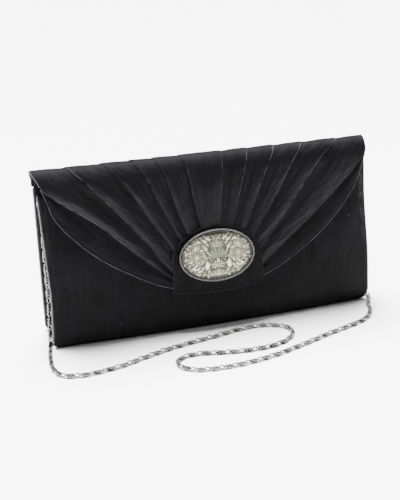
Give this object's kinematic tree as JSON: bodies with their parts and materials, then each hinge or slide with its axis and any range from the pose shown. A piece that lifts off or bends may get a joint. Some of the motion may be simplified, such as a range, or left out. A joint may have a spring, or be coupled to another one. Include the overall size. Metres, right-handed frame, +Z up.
{
  "type": "evening bag",
  "caption": "Pleated satin evening clutch with a hinged flap, an oval ornament, a hidden magnetic snap, inward folding side gussets and a thin carrying chain.",
  "frame": {"origin": "centre of the flat underside of the base, closed bag standing upright", "axes": "+X across the width to the right seen from the front, front faces -Y, +Z up"},
  "size_m": [0.2702, 0.1227, 0.1272],
  "materials": {
    "satin": "near-black satin with a soft sheen",
    "board": "grey-brown stiffening board",
    "lining": "thin black lining cloth",
    "binding": "worn edge cord, paler where rubbed",
    "wadding": "off-white felt wadding",
    "silver": "polished silver-toned metal",
    "chain": "polished silver-toned metal",
    "plaque": "antiqued silver with darkened recesses",
    "steel": "plain plated steel",
    "magnet": "dark coated magnet"
  },
  "bodies": {
    "root": {"back_panel": "satin", "back_board": "board", "back_lining": "lining", "back_left_binding": "binding", "back_right_binding": "binding", "inner_pocket": "lining", "base_panel": "satin", "base_board": "board", "base_lining": "lining", "left_gusset": "satin", "right_gusset": "satin", "left_ring_tab": "satin", "right_ring_tab": "satin", "left_end_link": "silver", "right_end_link": "silver", "chain": "chain"},
    "front": {"front_panel": "satin", "front_board": "board", "front_lining": "lining", "front_left_binding": "binding", "front_right_binding": "binding", "snap_socket_case": "silver", "snap_magnet": "magnet", "snap_socket_washer": "steel"},
    "flap": {"pleated_cover": "satin", "flap_lining": "lining", "flap_board": "board", "centre_tab": "satin", "roll_wadding": "wadding", "flap_piping": "binding", "medallion_rim": "silver", "medallion_plaque": "plaque", "medallion_back_plate": "steel", "medallion_left_post": "steel", "medallion_right_post": "steel", "medallion_left_washer": "steel", "medallion_right_washer": "steel", "snap_stud": "silver", "snap_stud_washer": "steel"},
    "left_ring": {"left_d_ring": "silver"},
    "right_ring": {"right_d_ring": "silver"}
  },
  "joints": [
    {"name": "flap_hinge", "type": "hinge", "parent": "root", "child": "flap", "pos_m": [0, 0.0103, 0.1138], "axis": [-1, 0, 0], "range_deg": [0, 165]},
    {"name": "front_panel_tilt", "type": "hinge", "parent": "root", "child": "front", "pos_m": [0, -0.0197, 0.0015], "axis": [1, 0, 0], "range_deg": [0, 7], "deforming": ["left_gusset", "right_gusset"]},
    {"name": "left_ring_swing", "type": "hinge", "parent": "root", "child": "left_ring", "pos_m": [-0.1245, 0.0035, 0.1045], "axis": [1, 0, 0], "range_deg": [-8, 8]},
    {"name": "right_ring_swing", "type": "hinge", "parent": "root", "child": "right_ring", "pos_m": [0.1245, 0.0035, 0.1045], "axis": [1, 0, 0], "range_deg": [-8, 8]}
  ],
  "couplings": [
    {"joint": "front_panel_tilt", "follows": "flap_hinge", "ratio": 0.0424}
  ]
}
